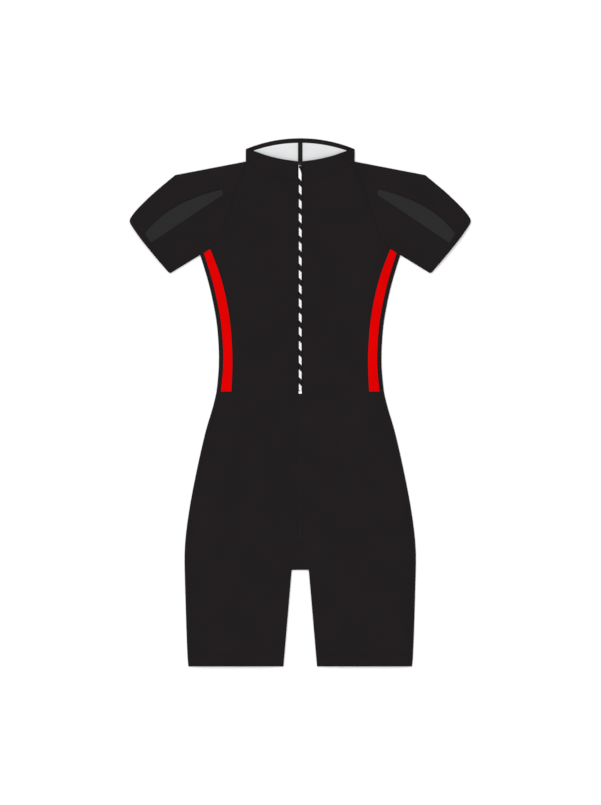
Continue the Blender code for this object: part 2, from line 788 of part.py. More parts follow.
def finish_hard_piece(piece, material):
    """Put a joined piece into the garment's collection with its own material."""
    piece.data.materials.clear()
    piece.data.materials.append(material)
    for collection in list(piece.users_collection):
        collection.objects.unlink(piece)
    garment.objects.link(piece)


def make_pull():
    """A loop round the bridge and a slanting tab, its origin on the bar that it turns on."""
    length = BAR_Y - (TAB_FOOT - LENGTH / 2)
    rest_level = upper_level(0, TAB_FOOT) + CHAIN_TOP + SEAM_GAP + TAB_THICKNESS / 2
    tilt = math.asin((BAR_LEVEL - rest_level) / length)
    bpy.ops.mesh.primitive_cylinder_add(
        vertices=16, radius=BAR_RADIUS * MM, depth=(LOOP_RIGHT - LOOP_LEFT) * MM,
        location=((LOOP_LEFT + LOOP_RIGHT) / 2 * MM, 0, 0), rotation=(0, math.pi / 2, 0))
    bar = bpy.context.object
    bar.name = "zip_pull"
    bpy.ops.object.transform_apply(location=True, rotation=True)
    inset = LOOP_ARM / 2 + JOIN_STEP
    arm_size = (LOOP_ARM, LOOP_LENGTH, TAB_THICKNESS - 2 * JOIN_STEP)
    arms = [block("arm", arm_size, (x, -LOOP_LENGTH / 2, 0)) for x in (LOOP_LEFT + inset, LOOP_RIGHT - inset)]
    tab = flat_solid("tab", [(corner.across, -corner.along) for corner in TAB], TAB_THICKNESS)
    join_solids(bar, arms + [tab])
    bar.location = (0, BAR_Y * MM, BAR_LEVEL * MM)
    bar.rotation_euler = (tilt, 0, 0)
    finish_hard_piece(bar, white_plastic)


for old in list(bpy.data.objects):
    bpy.data.objects.remove(old)

garment = bpy.data.collections.new("Unitard")
bpy.context.scene.collection.children.link(garment)

black_knit = new_material("Black knit", (0.0168, 0.0137, 0.0144), 0.75)
red_knit = new_material("Red knit", (0.7831, 0.0003, 0.0003), 0.7)
grey_knit = new_material("Dark grey knit", (0.0273, 0.0273, 0.0273), 0.7)
lining_knit = new_material("Light grey lining", (0.7605, 0.7682, 0.7758), 0.8)
black_tape = new_material("Black tape", (0.0168, 0.0137, 0.0144), 0.7)
zip_plastic = new_material("Zip plastic", (0.9, 0.9, 0.9), 0.4)
white_plastic = new_material("White plastic", (0.9, 0.9, 0.9), 0.35)
black_metal = new_material("Black metal", (0.02, 0.02, 0.02), 0.35, 1.0)

for side, word in ((1, "left"), (-1, "right")):
    make_front(side, word)
    make_back(side, word)
    make_sleeve(side, word)
    make_collar(side, word)
    make_zip_tape(side, word)
    stop("top_stop_" + word, side * (TOP_STOP_WIDTH / 2), TOP_STOP_WIDTH,
         SLIDER_FOOT + SLIDER_LENGTH, ZIP_HEAD, black_metal)
make_collar_inside()
make_zip_chain()
stop("bottom_stop", 0.0, 2 * CHAIN_HALF, ZIP_END, ZIP_END + BOTTOM_STOP, white_plastic)
make_slider()
make_pull()
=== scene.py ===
# %% [markdown]
# # A short unitard, laid flat
# The garment is a tight sports suit with short legs, raglan sleeves, a stand collar and a zip down
# the front. It lies on its back on a pale table and the camera looks straight down on it, as in a
# flat product drawing. This lesson dresses its plain cut pieces: it rounds and creases the cloth,
# sews the seams, sets the zip's teeth and gives each surface its knit, tape, plastic or enamel.

import math
from collections import namedtuple

import bmesh
import bpy
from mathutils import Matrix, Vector
from mathutils.bvhtree import BVHTree


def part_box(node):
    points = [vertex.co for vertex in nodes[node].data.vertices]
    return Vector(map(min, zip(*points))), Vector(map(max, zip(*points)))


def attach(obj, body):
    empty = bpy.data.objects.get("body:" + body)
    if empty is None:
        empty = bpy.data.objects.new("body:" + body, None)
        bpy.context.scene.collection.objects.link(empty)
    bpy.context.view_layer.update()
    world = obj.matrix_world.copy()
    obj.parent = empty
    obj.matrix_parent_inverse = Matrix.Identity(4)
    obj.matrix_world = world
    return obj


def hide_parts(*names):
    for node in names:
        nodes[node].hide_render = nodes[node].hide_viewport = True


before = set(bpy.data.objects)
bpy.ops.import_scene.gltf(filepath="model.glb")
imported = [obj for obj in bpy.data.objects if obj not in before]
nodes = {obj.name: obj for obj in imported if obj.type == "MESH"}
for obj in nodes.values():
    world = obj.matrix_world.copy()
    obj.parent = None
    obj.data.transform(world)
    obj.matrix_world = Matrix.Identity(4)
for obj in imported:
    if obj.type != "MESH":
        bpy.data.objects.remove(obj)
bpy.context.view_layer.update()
MM = 0.001
print("pieces in the frame:", len(nodes))

# %% [markdown]
# ## The camera, the table and the light
# The picture is 601 by 805 pixels and one pixel is 1.85 mm on the garment, so the camera has to see
# 1.49 m from top to bottom. A long lens from far above keeps the view nearly free of perspective, as
# a drawing is, and is what a product photographer would use.

# %% Camera
PIXEL = 1.85 * MM
PICTURE = (601, 805)
MIDDLE_PIXEL = (300.22, 402.33)  # where the garment's middle is in the picture
LENS = 180.0     # millimetres, as on a real lens
SENSOR = 36.0    # millimetres too
FARTHEST = 50.0  # metres

camera_data = bpy.data.cameras.new("Camera")
camera_data.lens = LENS
camera_data.sensor_width = SENSOR
camera_data.clip_end = FARTHEST
camera = bpy.data.objects.new("Camera", camera_data)
bpy.context.scene.collection.objects.link(camera)
bpy.context.scene.camera = camera
aim_x = (PICTURE[0] / 2 - MIDDLE_PIXEL[0]) * PIXEL
aim_y = (MIDDLE_PIXEL[1] - PICTURE[1] / 2) * PIXEL
camera.location = (aim_x, aim_y, PICTURE[1] * PIXEL * LENS / SENSOR)
bpy.context.scene.view_settings.view_transform = "Standard"
print("camera height in m:", round(camera.location.z, 3))

# %% [markdown]
# Colours are written in hex, as they show on a screen, but a shader takes them linear. One helper
# turns them, one adds any node with its settings and links, and one makes a material. A node could be
# added by hand each time, but then four lines would stand where one does.

# %% Helpers for colours, nodes and materials


def linear(colour):
    """An sRGB hex colour as the linear values that a shader takes."""
    parts = [int(colour[place:place + 2], 16) / 255 for place in (1, 3, 5)]
    return [part / 12.92 if part <= 0.04045 else ((part + 0.055) / 1.055) ** 2.4 for part in parts] + [1.0]


def add_node(tree, kind, settings=(), **links):
    """Add a node, set its properties and link or fill its inputs by name, or by number as in i0."""
    node = tree.nodes.new(kind)
    for name, value in dict(settings).items():
        setattr(node, name, value)
    for name, value in links.items():
        key = name.replace("_", " ")
        socket = node.inputs[int(name[1:])] if name[1:].isdigit() else node.inputs[key]
        if isinstance(value, bpy.types.NodeSocket):
            tree.links.new(value, socket)
        else:
            socket.default_value = value
    return node


def new_material(name, colour, **settings):
    """A material with its shader, ready for a pattern. Settings are set on the shader's own sockets."""
    material = bpy.data.materials.new(name)
    material.use_nodes = True
    shader = material.node_tree.nodes["Principled BSDF"]
    shader.inputs["Base Color"].default_value = linear(colour)
    for key, value in settings.items():
        shader.inputs[key.replace("_", " ")].default_value = value
    return material


print("middle grey as a shader takes it:", [round(part, 3) for part in linear("#808080")])

# %% [markdown]
# The table is one big plane just under the cloth, lit a little from within as a light table is, which
# keeps the ground white close to the garment's edges. The light is a bright even sky, which leaves
# almost no shadow round a garment that is a few millimetres thick, and one broad soft lamp from the
# upper left, which lets the seams and the side folds be read.

# %% Table and light
TABLE_SIZE = 12.0  # metres
TABLE_DROP = 0.3 * MM
WHITE_LIGHT = (1, 1, 1, 1)
SKY_STRENGTH = 0.85
LAMP_STRENGTH = 1.0
LAMP_WIDTH = math.radians(40)
LAMP_TURN = (math.radians(-30), math.radians(-26), 0)

bpy.ops.mesh.primitive_plane_add(size=TABLE_SIZE, location=(0, 0, -TABLE_DROP))
table_top = bpy.context.object
table_top.name = "table_top"
table_material = new_material("Matt white table", "#FCFCFC", Roughness=0.9, Specular_IOR_Level=0.1,
                              Emission_Color=WHITE_LIGHT, Emission_Strength=0.1)
table_top.data.materials.append(table_material)

world = bpy.data.worlds.new("Studio")
world.use_nodes = True
bpy.context.scene.world = world
sky = world.node_tree.nodes["Background"]
sky.inputs["Color"].default_value = WHITE_LIGHT
sky.inputs["Strength"].default_value = SKY_STRENGTH

lamp_data = bpy.data.lights.new("Broad lamp", "SUN")
lamp_data.energy = LAMP_STRENGTH
lamp_data.angle = LAMP_WIDTH
lamp = bpy.data.objects.new("Broad lamp", lamp_data)
lamp.rotation_euler = LAMP_TURN
bpy.context.scene.collection.objects.link(lamp)
print("stage:", table_top.name, "and lamp:", lamp.name)

# %% [markdown]
# ## The materials
# Every cloth here is a fine knit. The real wales of a swim or cycling knit are half a millimetre
# apart, too fine for a picture with 1.85 mm pixels, so the pattern is drawn at about twice that and
# kept very low. It is made of two crossed waves on the object's own coordinates: the garment lies
# flat, so they run true along and across every panel.

# %% Knit cloth
WALE = 1.1 * MM           # spacing of the knit's columns
COURSE = 0.9 * MM         # spacing of its rows
FUZZ = 1.11 * MM          # size of the tufts in its nap
CLOUD = 71 * MM           # size of the slow patches in its dye
KNIT_DEPTH = 0.25 * MM
WAVE_TURN = math.pi / 10  # a wave texture of scale 1 repeats every pi / 10 metres


def knit_material(name, colour, relief, nap, **settings):
    """A knit: crossed waves for its loops, with painted shade in their hollows and painted light on their
    tops, and a slow cloudiness as in any dyed cloth.
    """
    material = new_material(name, colour, **settings)
    tree = material.node_tree
    shader = tree.nodes["Principled BSDF"]
    place = add_node(tree, "ShaderNodeTexCoord").outputs["Object"]
    wales = add_node(tree, "ShaderNodeTexWave", {"bands_direction": "X"},
                     Vector=place, Scale=WAVE_TURN / WALE, Distortion=0.6, Detail=0.0)
    courses = add_node(tree, "ShaderNodeTexWave", {"bands_direction": "Y"},
                       Vector=place, Scale=WAVE_TURN / COURSE, Distortion=0.8, Detail=0.0)
    loops = add_node(tree, "ShaderNodeMath", {"operation": "MULTIPLY"},
                     i0=wales.outputs["Fac"], i1=courses.outputs["Fac"])
    fuzz = add_node(tree, "ShaderNodeTexNoise", Vector=place, Scale=1 / FUZZ, Detail=3.0)
    mixed = add_node(tree, "ShaderNodeMath", {"operation": "MULTIPLY_ADD"},
                     i0=fuzz.outputs["Fac"], i1=nap, i2=loops.outputs["Value"])
    bump = add_node(tree, "ShaderNodeBump", Height=mixed.outputs["Value"], Strength=relief,
                    Distance=KNIT_DEPTH)
    tree.links.new(bump.outputs["Normal"], shader.inputs["Normal"])
    clouds = add_node(tree, "ShaderNodeTexNoise", Vector=place, Scale=1 / CLOUD, Detail=4.0)
    shades = add_node(tree, "ShaderNodeMapRange", Value=clouds.outputs["Fac"],
                      From_Min=0.3, From_Max=0.7, To_Min=0.94, To_Max=1.06)
    # painted shade and light: the colour follows the loops' height, darker between the loops and lighter on
    # their tops
    loop_painted_shade = add_node(tree, "ShaderNodeMapRange", Value=loops.outputs["Value"],
                          To_Min=0.93, To_Max=1.05)
    together = add_node(tree, "ShaderNodeMath", {"operation": "MULTIPLY"},
                        i0=shades.outputs["Result"], i1=loop_painted_shade.outputs["Result"])
    tint = add_node(tree, "ShaderNodeVectorMath", {"operation": "SCALE"},
                    i0=linear(colour)[:3], Scale=together.outputs["Value"])
    tree.links.new(tint.outputs["Vector"], shader.inputs["Base Color"])
    return material


# %% [markdown]
# Four knits come out of that function. They differ in colour, in how deep their loops are and in how
# much nap stands up from them. Nearly all are matt: a stretched knit scatters light to every side.

# %% The four knits
# Polyamide and elastane warp knit, dyed black: nearly matt, with a little sheen from the filaments
black_knit = knit_material("Warp knit, black", "#1D191A", 0.5, 0.3,
                           Roughness=0.82, Specular_IOR_Level=0.08, Sheen_Weight=0.01, Sheen_Roughness=0.5)
# The same knit dyed red, in the side stripes
red_knit = knit_material("Warp knit, red", "#E00000", 0.5, 0.3,
                         Roughness=0.85, Specular_IOR_Level=0.02)
# The sleeve inserts are dark grey and a little smoother
grey_knit = knit_material("Warp knit, dark grey", "#292828", 0.4, 0.2,
                          Roughness=0.75, Specular_IOR_Level=0.08, Sheen_Weight=0.01, Sheen_Roughness=0.5)
# The collar's lining is brushed on the face, so its nap is stronger than its loops
lining_knit = knit_material("Brushed lining, light grey", "#E0E1E2", 0.4, 0.9,
                            Roughness=0.9, Specular_IOR_Level=0.1, Sheen_Weight=0.05, Sheen_Roughness=0.4)
print("knits:", [knit.name for knit in (black_knit, red_knit, grey_knit, lining_knit)])

# %% [markdown]
# The zip's tape is woven, not knitted: a twill whose diagonal ribs show at its edges. The thread is a
# polyester twist. Teeth and pull are moulded plastic; the slider is cast zinc under black enamel. Each
# of these surfaces is raised by one small pattern: ribs on tape and thread, grain on plastic, and the
# faint dimples of sprayed enamel.

# %% Tape, thread, plastic and enamel
TWILL = 0.8 * MM     # spacing of the tape's ribs
TWIST = 0.35 * MM    # spacing of the turns in the thread
GRAIN = 0.67 * MM    # size of the mould's grain on the plastic
DIMPLE = 1.11 * MM   # size of the enamel's dimples
WHITE = "#FAFAFA"
BLACK = "#1A1818"


def raised_material(name, colour, kind, pattern, strength, depth, **settings):
    """A material raised by one pattern, slanting ribs or noise, whose texture's inputs are given."""
    material = new_material(name, colour, **settings)
    tree = material.node_tree
    place = add_node(tree, "ShaderNodeTexCoord").outputs["Object"]
    properties = {"bands_direction": "DIAGONAL"} if kind == "ShaderNodeTexWave" else {}
    texture = add_node(tree, kind, properties, Vector=place, **pattern)
    bump = add_node(tree, "ShaderNodeBump", Height=texture.outputs["Fac"],
                    Strength=strength, Distance=depth)
    tree.links.new(bump.outputs["Normal"], tree.nodes["Principled BSDF"].inputs["Normal"])
    return material


black_tape = raised_material("Woven polyester tape, black", "#1C191A",
                             "ShaderNodeTexWave", {"Scale": WAVE_TURN / TWILL}, 0.6, 0.2 * MM,
                             Roughness=0.75, Specular_IOR_Level=0.1)
black_thread = raised_material("Polyester thread, black", BLACK,
                               "ShaderNodeTexWave", {"Scale": WAVE_TURN / TWIST}, 0.5, 0.1 * MM,
                               Roughness=0.6, Specular_IOR_Level=0.15)
white_plastic = raised_material("Moulded acetal, white", WHITE,
                                "ShaderNodeTexNoise", {"Scale": 1 / GRAIN, "Detail": 2.0}, 0.15, 0.05 * MM,
                                Roughness=0.35, Coat_Weight=0.1)
black_enamel = raised_material("Black enamel on cast zinc", "#171616",
                               "ShaderNodeTexNoise", {"Scale": 1 / DIMPLE, "Detail": 1.0}, 0.2, 0.05 * MM,
                               Roughness=0.45, Specular_IOR_Level=0.2)
print("tape, thread, plastic and enamel:",
      [made.name for made in (black_tape, black_thread, white_plastic, black_enamel)])

# %% [markdown]
# The pull is white moulded plastic: its tab is white, and so are the top bar and the left arm of its
# loop. The loop's right arm and lower bar lie in one box, tested on Object coordinates, and that is
# drawn black as painted shade on them. A second material on some faces would do as well, but then the
# border between the white and the painted shade would have to follow the faces' edges.

# %% White pull with painted shade on its loop
# the box on the loop's right arm and lower bar that is drawn black as painted shade
LOOP_PAINTED_SHADE_FROM_X = -2.3 * MM
LOOP_PAINTED_SHADE_FROM_Y = 432.4 * MM
LOOP_PAINTED_SHADE_TO_Y = 436.9 * MM

pull_plastic_with_painted_shade = white_plastic.copy()
pull_plastic_with_painted_shade.name = "Moulded acetal, white, with painted shade on its loop"
tree = pull_plastic_with_painted_shade.node_tree
axes = add_node(tree, "ShaderNodeSeparateXYZ",
                Vector=add_node(tree, "ShaderNodeTexCoord").outputs["Object"])
right_of = add_node(tree, "ShaderNodeMath", {"operation": "GREATER_THAN"},
                    i0=axes.outputs["X"], i1=LOOP_PAINTED_SHADE_FROM_X)
above = add_node(tree, "ShaderNodeMath", {"operation": "GREATER_THAN"},
                 i0=axes.outputs["Y"], i1=LOOP_PAINTED_SHADE_FROM_Y)
below = add_node(tree, "ShaderNodeMath", {"operation": "LESS_THAN"},
                 i0=axes.outputs["Y"], i1=LOOP_PAINTED_SHADE_TO_Y)
between = add_node(tree, "ShaderNodeMath", {"operation": "MULTIPLY"},
                   i0=above.outputs["Value"], i1=below.outputs["Value"])
in_painted_shade = add_node(tree, "ShaderNodeMath", {"operation": "MULTIPLY"},
                   i0=right_of.outputs["Value"], i1=between.outputs["Value"])
# painted shade: black inside the box, the white plastic's own colour everywhere else
pull_colour_with_painted_shade = add_node(tree, "ShaderNodeMix", {"data_type": "RGBA"}, i0=in_painted_shade.outputs["Value"],
                       i6=linear(WHITE), i7=linear(BLACK))
tree.links.new(pull_colour_with_painted_shade.outputs[2], tree.nodes["Principled BSDF"].inputs["Base Color"])
print("pull:", pull_plastic_with_painted_shade.name)

# %% [markdown]
# The teeth come in two colours too, in slanting bands. A band's place depends on X + Y alone, so one
# sum, one modulo and one comparison draw all of them, with crisp edges at any zoom.

# %% Banded teeth
BAND_PERIOD = 26.24 * MM  # one white and one black band of teeth
BAND_WHITE = 14.0 * MM    # of which white
BAND_START = 399.7 * MM   # where along X + Y a white band starts
BAND_TOP = 409.0 * MM     # above this Y the chain is black

banded_teeth = new_material("Moulded acetal teeth, white and black bands", WHITE,
                            Roughness=0.5, Specular_IOR_Level=0.15)
tree = banded_teeth.node_tree
axes = add_node(tree, "ShaderNodeSeparateXYZ",
                Vector=add_node(tree, "ShaderNodeTexCoord").outputs["Object"])
slant = add_node(tree, "ShaderNodeMath", {"operation": "ADD"}, i0=axes.outputs["X"], i1=axes.outputs["Y"])
from_start = add_node(tree, "ShaderNodeMath", {"operation": "SUBTRACT"},
                      i0=BAND_START, i1=slant.outputs["Value"])
along_band = add_node(tree, "ShaderNodeMath", {"operation": "FLOORED_MODULO"},
                      i0=from_start.outputs["Value"], i1=BAND_PERIOD)
is_white = add_node(tree, "ShaderNodeMath", {"operation": "LESS_THAN"},
                    i0=along_band.outputs["Value"], i1=BAND_WHITE)
below_tab = add_node(tree, "ShaderNodeMath", {"operation": "LESS_THAN"}, i0=axes.outputs["Y"], i1=BAND_TOP)
white_share = add_node(tree, "ShaderNodeMath", {"operation": "MULTIPLY"},
                       i0=is_white.outputs["Value"], i1=below_tab.outputs["Value"])
tooth_colour = add_node(tree, "ShaderNodeMix", {"data_type": "RGBA"}, i0=white_share.outputs["Value"],
                        i6=linear(BLACK), i7=linear(WHITE))
tree.links.new(tooth_colour.outputs[2], tree.nodes["Principled BSDF"].inputs["Base Color"])
print("teeth:", banded_teeth.name)

# %% [markdown]
# ## The cloth
# Each cut piece of the frame is a coarse flat shell. To dress one, its triangles are first joined back
# into four-sided faces, as in its pattern grid. Its cut edge is moved out by about a tenth of a
# millimetre, because the thread of a seam draws two edges together.

# %% Read a piece's form and close its seams
MERGE_DISTANCE = 0.01 * MM
JOIN_ANGLE = math.radians(12)        # triangles that meet flatter than this become one face
JOIN_SHAPE = math.radians(120)       # however oblong that face is
SEAM_TAKE_UP = 0.13 * MM             # so much closer comes each side of a seam, and no table shows through
RIM_NORMAL_Z = 0.5                   # faces whose normals rise less than this are the rim
LEAST_LEAN = 0.5                     # keeps a sharp corner from being thrown far out


def welded(node):
    """A node's mesh with its corners merged and its triangles joined to four-sided faces."""
    shape = bmesh.new()
    shape.from_mesh(nodes[node].data)
    bmesh.ops.remove_doubles(shape, verts=shape.verts, dist=MERGE_DISTANCE)
    bmesh.ops.join_triangles(shape, faces=shape.faces, angle_face_threshold=JOIN_ANGLE,
                             angle_shape_threshold=JOIN_SHAPE)
    shape.normal_update()
    return shape


def draw_seams_together(shape):
    """Move the cut edge outwards a little: its rim faces say which way that is."""
    outwards = {}
    for face in shape.faces:
        if abs(face.normal.z) < RIM_NORMAL_Z:
            flat = Vector((face.normal.x, face.normal.y, 0.0)).normalized()
            for vertex in face.verts:
                outwards.setdefault(vertex, []).append(flat)
    for vertex, directions in outwards.items():
        middle = sum(directions, Vector())
        if middle.length > LEAST_LEAN:
            middle.normalize()
            vertex.co += middle * SEAM_TAKE_UP / max(middle.dot(directions[0]), LEAST_LEAN)


sample = welded("front_left")
print("faces of the left front:", len(nodes["front_left"].data.polygons), "once joined:", len(sample.faces))
sample.free()

# %% [markdown]
# The outline and its corners are then creased, so that subdivision smooths the surface but keeps the
# cut, and a small bevel turns the raw edge into a soft one. That is done with modifiers and then made
# plain mesh. Remeshing would round the edge too, but it would lose the exact cut.

# %% Hold the cut and round the edge
SURFACE_LEVELS = 2
EDGE_ROUND = 0.32 * MM
SOFT_EDGE_ANGLE = math.radians(50)   # edges sharper than this are rounded
OUTLINE_ANGLE = math.radians(45)     # edges sharper than this are between face and rim
CORNER_ANGLE = math.radians(17)      # upright rim edges sharper than this are corners of the cut
LEVEL_ANGLE = math.radians(2)        # flatter than this, an edge only splits one flat face in two
UPRIGHT_SHARE = 0.7                  # an edge that climbs by this share of its length is upright


def is_upright(edge):
    run = edge.verts[1].co - edge.verts[0].co
    return abs(run.z) > UPRIGHT_SHARE * run.length


def crease_outline(shape):
    """Hold the cut: crease the edges between face and rim, and the upright edges at corners.

    Level edges that run from a corner along a triangle are creased too. They stay as flat as they
    are, and a long thin triangle could fold over in its own plane if they were free to slide.
    """
    crease = shape.edges.layers.float.new("crease_edge")
    corners = set()
    for edge in shape.edges:
        turn = edge.calc_face_angle()
        is_corner = is_upright(edge) and turn > CORNER_ANGLE
        if is_corner:
            corners.update(edge.verts)
        if is_corner or turn > OUTLINE_ANGLE:
            edge[crease] = 1.0
    for edge in shape.edges:
        in_triangle = min(len(face.verts) for face in edge.link_faces) == 3
        if in_triangle and edge.calc_face_angle() < LEVEL_ANGLE and corners.intersection(edge.verts):
            edge[crease] = 1.0


def plain_mesh(piece):
    """Replace a piece's mesh by what its modifiers make of it."""
    bpy.context.view_layer.update()
    made = bpy.data.meshes.new_from_object(piece.evaluated_get(bpy.context.evaluated_depsgraph_get()))
    piece.modifiers.clear()
    piece.data = made
    made.name = piece.name


def add_piece(name, shape, material):
    """A new object with the edited form as its mesh, in one material."""
    mesh = bpy.data.meshes.new(name)
    shape.to_mesh(mesh)
    shape.free()
    mesh.materials.clear()
    mesh.materials.append(material)
    piece = bpy.data.objects.new(name, mesh)
    bpy.context.scene.collection.objects.link(piece)
    return piece


def dress(node, material):
    """A smooth, soft-edged piece on a node's form."""
    shape = welded(node)
    draw_seams_together(shape)
    crease_outline(shape)
    piece = add_piece(node + "_cloth", shape, material)
    smooth = piece.modifiers.new("Smooth", "SUBSURF")
    smooth.levels = SURFACE_LEVELS
    smooth.render_levels = SURFACE_LEVELS
    soft_edge = piece.modifiers.new("Soft edge", "BEVEL")
    soft_edge.width = EDGE_ROUND
    soft_edge.segments = 2
    soft_edge.loop_slide = False
    soft_edge.limit_method = "ANGLE"
    soft_edge.angle_limit = SOFT_EDGE_ANGLE
    plain_mesh(piece)
    piece.data.shade_smooth()
    return piece


# %% [markdown]
# A suit that has just been laid down and smoothed with the hand keeps a few faint drags: from the
# armpits over the chest, across the waist, and from the crotch to the thighs. Each one is listed as a
# line with its own depth and width, and all upper pieces share them, so the seams stay closed. The
# camera looks straight down, so they are kept low.

# %% Soft creases
Crease = namedtuple("Crease", "x y to_x to_y height width")  # all in millimetres
CREASES = (
    Crease(150, 258, 92, 292, 0.7, 11),
    Crease(146, 240, 84, 252, -0.6, 12),
    Crease(-152, 256, -88, 284, 0.8, 12),
    Crease(-140, 232, -96, 246, -0.5, 10),
    Crease(112, 96, 46, 84, -0.5, 13),
    Crease(-118, 72, -40, 62, -0.6, 14),
    Crease(104, 44, 60, 52, 0.5, 12),
    Crease(-96, 110, -52, 116, 0.4, 12),
    Crease(22, -292, 78, -250, 0.7, 12),
    Crease(-20, -288, -86, -262, 0.8, 13),
    Crease(30, -316, 96, -318, -0.6, 12),
    Crease(-34, -322, -110, -330, -0.5, 13),
    Crease(150, -180, 118, -60, 0.4, 16),
    Crease(-154, -200, -128, -96, 0.4, 17),
    Crease(214, 318, 176, 356, 0.6, 12),
    Crease(-208, 312, -184, 360, 0.6, 11),
    Crease(246, 300, 214, 372, -0.4, 13),
    Crease(-250, 306, -222, 366, -0.4, 12),
)
CREASE_RUN_OUT = 0.3  # a crease fades out this share of its length past each end


def crease_height(x, y):
    """The sum of all creases at a place, each one fading out at its ends and sides."""
    total = 0.0
    here = Vector((x / MM, y / MM))
    for crease in CREASES:
        start = Vector((crease.x, crease.y))
        along = Vector((crease.to_x, crease.to_y)) - start
        share = (here - start).dot(along) / along.length_squared
        if -CREASE_RUN_OUT < share < 1 + CREASE_RUN_OUT:
            nearest = start + along * min(max(share, 0.0), 1.0)
            off = (here - nearest).length / crease.width
            fade = math.sin(math.pi * (share + CREASE_RUN_OUT) / (1 + 2 * CREASE_RUN_OUT))
            total += crease.height * math.exp(-off * off) * fade
    return total * MM


def lay_creases(piece):
    for vertex in piece.data.vertices:
        vertex.co.z += crease_height(vertex.co.x, vertex.co.y)


print("creases:", len(CREASES))

# %% [markdown]
# The pieces and their cut: width and length of the cut in metres, and its area. The upper pieces lie
# on the lower ones, and the backs lie on the table. Each piece takes the place of its node.

# %% Make every cloth piece
Cut = namedtuple("Cut", "node material slot width length area lies_on upper")
PAIRS = (
    Cut("back", black_knit, "black_knit", 0.222, 0.934, 0.1647, "table_top", False),
    Cut("front", black_knit, "black_knit", 0.206, 0.934, 0.1454, "back", True),
    Cut("side_stripe", red_knit, "red_knit", 0.053, 0.264, 0.0044, "back", True),
    Cut("sleeve_back", black_knit, "black_knit", 0.214, 0.207, 0.0251, "table_top", False),
    Cut("sleeve_front", black_knit, "black_knit", 0.214, 0.207, 0.0214, "sleeve_back", True),
    Cut("sleeve_insert", grey_knit, "grey_knit", 0.160, 0.030, 0.0036, "sleeve_back", True),
    Cut("collar", black_knit, "black_knit", 0.206, 0.050, 0.0072, "table_top", False),
    Cut("zip_tape", black_tape, "black_tape", 0.014, 0.440, 0.0060, "back", True),
)
cloth = {}


def declare(piece, node):
    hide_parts(node)
    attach(piece, "garment")
    cloth[node] = piece


for cut in PAIRS:
    for word in ("left", "right"):
        node = cut.node + "_" + word
        piece = dress(node, cut.material)
        if cut.upper:
            lay_creases(piece)
        below = cut.lies_on if cut.lies_on == "table_top" else cut.lies_on + "_" + word + "_cloth"
        declare(piece, node)
print("cloth pieces:", len(cloth), "faces:", sum(len(piece.data.polygons) for piece in cloth.values()))

# %% [markdown]
# Inside the collar three small pieces show through the neck: the light lining, the black facing along
# the top edge and the tape over the centre-back seam. They are single, not pairs. A cut's side has to
# be stated as at least 10 mm; the facing and the tape are narrower than that, so their areas say it.

# %% Lining, facing and tape
INSIDE = (
    Cut("collar_lining", lining_knit, "lining_knit", 0.172, 0.0395, 0.0058, "collar_left_cloth", False),
    Cut("neck_facing", black_knit, "black_knit", 0.175, 0.010, 0.0014, "collar_left_cloth", False),
    Cut("centre_back_tape", black_tape, "black_tape", 0.010, 0.038, 0.0003, "collar_lining_cloth", False),
)
for cut in INSIDE:
    piece = dress(cut.node, cut.material)
    declare(piece, cut.node)
print("pieces inside the collar:", len(INSIDE))

# %% [markdown]
# ## The seams
# A stitch line runs at a fixed distance inside the edge of a piece. To find it, the upper outline of
# the piece is read from its node, cut into runs at its corners, and the run nearest to a given place
# is moved in. The line is then dropped onto the dressed cloth.

# %% Read the outline of a piece
RUN_CORNER = math.radians(24)
UPPER_NORMAL_Z = 0.6  # faces whose normals rise more than this are the piece's upper side
LEAST_TURN = 0.5      # keeps a sharp corner from being moved in too far


def upper_outline(node):
    """The upper outlines of a node as closed loops of places, anticlockwise seen from above."""
    shape = welded(node)
    ring = {}
    for edge in shape.edges:
        facing = [face.normal.z > UPPER_NORMAL_Z for face in edge.link_faces]
        if facing.count(True) == 1:
            face = edge.link_faces[facing.index(True)]
            loop = next(corner for corner in face.loops if corner.edge == edge)
            ring[loop.vert.index] = (loop.vert.co.copy(), loop.link_loop_next.vert.index)
    shape.free()
    loops = []
    while ring:
        index = next(iter(ring))
        line = []
        while index in ring:
            place, index = ring.pop(index)
            line.append(place)
        loops.append(line)
    return loops


def turn_at(before, here, after):
    first = (here - before).xy.normalized()
    second = (after - here).xy.normalized()
    return first.angle_signed(second, 0.0)


def runs_of(node):
    """The outline's runs between corners."""
    runs = []
    for line in upper_outline(node):
        count = len(line)
        turns = [turn_at(line[i - 1], line[i], line[(i + 1) % count]) for i in range(count)]
        corners = [i for i, turn in enumerate(turns) if abs(turn) > RUN_CORNER]
        if not corners:
            runs.append(line + line[:1])
            continue
        for start, end in zip(corners, corners[1:] + [corners[0] + count]):
            runs.append([line[i % count] for i in range(start, end + 1)])
    return runs


def middles(run):
    return [before.lerp(after, 0.5) for before, after in zip(run, run[1:])]


def run_near(node, place):
    """The run of a node's outline that passes nearest to a place."""
    return min(runs_of(node), key=lambda run: min((point.xy - place).length for point in middles(run)))


def moved_in(run, inset):
    """A run moved into its piece, to its left as it runs anticlockwise."""
    moved = []
    for i, here in enumerate(run):
        before = run[max(i - 1, 0)]
        after = run[min(i + 1, len(run) - 1)]
        first = (here - before).xy if i else (after - here).xy
        second = (after - here).xy if i < len(run) - 1 else first
        normals = [Vector((-way.y, way.x)).normalized() for way in (first, second)]
        inward = (normals[0] + normals[1]).normalized()
        reach = inset * MM / max(inward.dot(normals[0]), LEAST_TURN)
        moved.append(here.xy + inward * reach)
    return moved


print("runs in the outline of the left front:", len(runs_of("front_left")))

# %% [markdown]
# The route is read at close steps and each point is dropped onto the cloth from above, so that the
# thread follows the creases and the step at a seam.

